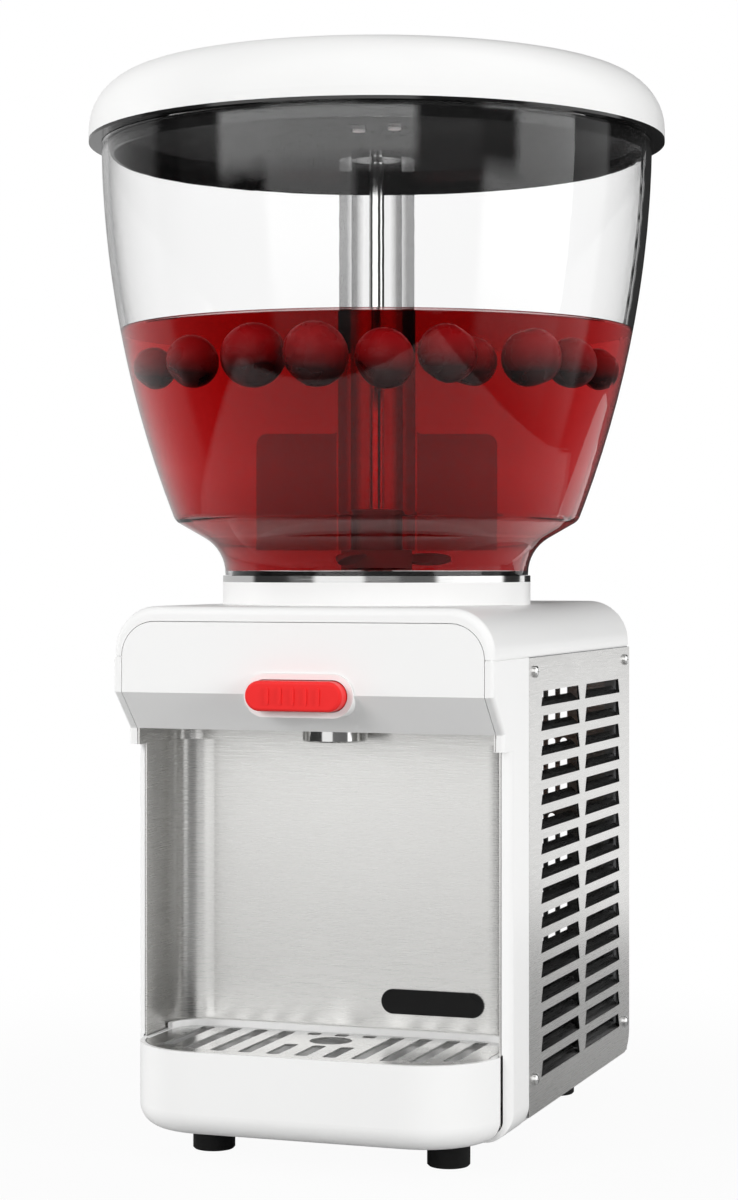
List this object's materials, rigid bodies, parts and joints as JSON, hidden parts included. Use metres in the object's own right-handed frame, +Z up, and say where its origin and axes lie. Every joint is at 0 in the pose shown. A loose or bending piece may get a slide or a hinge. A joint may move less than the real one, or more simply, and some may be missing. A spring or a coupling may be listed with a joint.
{
  "type": "juice dispenser",
  "caption": "Refrigerated juice dispenser with a clear tapering bowl, domed lid and stirrer on a steel and white cabinet with a push tap, drip tray and slotted side panels.",
  "frame": {"origin": "on the floor, under the axis of the bowl", "axes": "+Z up along the bowl's axis, -Y to the front with the tap, +X to the right seen from the front"},
  "size_m": [0.366, 0.366, 0.6754],
  "materials": {
    "white_plastic": "smooth glossy white moulding",
    "red_plastic": "glossy red moulding",
    "black_plastic": "glossy black moulding",
    "natural_plastic": "natural white food-grade plastic",
    "grey_plastic": "plain dark grey plastic",
    "foam": "cream insulating foam",
    "clear_bowl": "clear polished plastic",
    "clear_paddle": "clear polished plastic",
    "stainless": "brushed stainless sheet",
    "zinc_sheet": "plain zinc-coated sheet",
    "polished_steel": "polished steel",
    "black_rubber": "black moulded rubber",
    "copper": "drawn copper tube",
    "black_paint": "black enamel",
    "motor_paint": "grey enamel",
    "fin_aluminium": "plain aluminium fins",
    "magnet": "dark sintered magnet"
  },
  "bodies": {
    "cabinet": {"base_pan": "zinc_sheet", "rubber_feet": "black_rubber", "foot_screws": "polished_steel", "frame_uprights": "zinc_sheet", "support_plate": "zinc_sheet", "front_frame": "white_plastic", "splash_panel": "stainless", "hood_band": "stainless", "left_side_panel": "stainless", "right_side_panel": "stainless", "side_panel_screws": "polished_steel", "rear_panel": "stainless", "rear_panel_screws": "polished_steel", "top_deck": "white_plastic", "front_fascia": "white_plastic", "badge_plate": "black_plastic", "button_collar": "white_plastic", "return_spring": "polished_steel", "valve_body": "natural_plastic", "outlet_nozzle": "polished_steel", "seat_ring": "polished_steel", "evaporator_well": "stainless", "bowl_gasket": "black_rubber", "spindle": "polished_steel", "stir_motor": "motor_paint", "evaporator_coil": "copper", "insulation_disc": "foam", "compressor": "black_paint", "compressor_mounts": "black_rubber", "relay_box": "grey_plastic", "condenser": "fin_aluminium", "fan_shroud": "grey_plastic", "fan_motor": "motor_paint", "filter_drier": "copper", "refrigerant_tubes": "copper", "switch_housings": "black_plastic", "thermostat": "grey_plastic", "cord_gland": "black_plastic"},
    "button": {"push_button": "red_plastic", "valve_spool": "natural_plastic", "spool_seals": "black_rubber"},
    "bowl": {"bowl": "clear_bowl"},
    "lid": {"lid_shell": "white_plastic", "lid_liner": "black_plastic", "lid_screws": "polished_steel"},
    "tray": {"drip_tray": "white_plastic"},
    "grid": {"drip_grid": "polished_steel"},
    "stirrer": {"stirrer_impeller": "natural_plastic", "stirrer_bush": "natural_plastic", "follower_magnet": "magnet", "stirrer_paddle": "clear_paddle"},
    "drive": {"drive_magnet": "magnet", "motor_shaft": "polished_steel"},
    "fan": {"fan_rotor": "grey_plastic"},
    "cooling_switch": {"cooling_rocker": "black_plastic"},
    "stirring_switch": {"stirring_rocker": "black_plastic"},
    "temperature_knob": {"thermostat_knob": "black_plastic"}
  },
  "joints": [
    {"name": "button_push", "type": "slide", "parent": "cabinet", "child": "button", "axis": [0, 1, 0], "range_m": [0, 0.008], "stiffness_N_per_m": 350, "springref_m": -0.004, "deforming": ["return_spring"]},
    {"name": "bowl_lift", "type": "slide", "parent": "cabinet", "child": "bowl", "axis": [0, 0, 1], "range_m": [0, 0.28]},
    {"name": "lid_lift", "type": "slide", "parent": "bowl", "child": "lid", "axis": [0, 0, 1], "range_m": [0, 0.12]},
    {"name": "tray_slide", "type": "slide", "parent": "cabinet", "child": "tray", "axis": [0, -1, 0], "range_m": [0, 0.11]},
    {"name": "grid_lift", "type": "slide", "parent": "tray", "child": "grid", "axis": [0, 0, 1], "range_m": [0, 0.05]},
    {"name": "stirrer_spin", "type": "hinge", "parent": "cabinet", "child": "stirrer", "pos_m": [0, 0, 0.364], "axis": [0, 0, 1], "continuous": true},
    {"name": "drive_spin", "type": "hinge", "parent": "cabinet", "child": "drive", "pos_m": [0, 0, 0.334], "axis": [0, 0, 1], "continuous": true},
    {"name": "fan_spin", "type": "hinge", "parent": "cabinet", "child": "fan", "pos_m": [-0.06, 0.063, 0.1125], "axis": [1, 0, 0], "continuous": true},
    {"name": "cooling_switch_rock", "type": "hinge", "parent": "cabinet", "child": "cooling_switch", "pos_m": [-0.078, 0.1672, 0.272], "axis": [1, 0, 0], "range_deg": [0, 24]},
    {"name": "stirring_switch_rock", "type": "hinge", "parent": "cabinet", "child": "stirring_switch", "pos_m": [-0.078, 0.1672, 0.238], "axis": [1, 0, 0], "range_deg": [0, 24]},
    {"name": "knob_turn", "type": "hinge", "parent": "cabinet", "child": "temperature_knob", "pos_m": [-0.078, 0.1675, 0.187], "axis": [0, 1, 0], "range_deg": [0, 270]}
  ],
  "couplings": [
    {"joint": "drive_spin", "follows": "stirrer_spin", "ratio": 1}
  ]
}
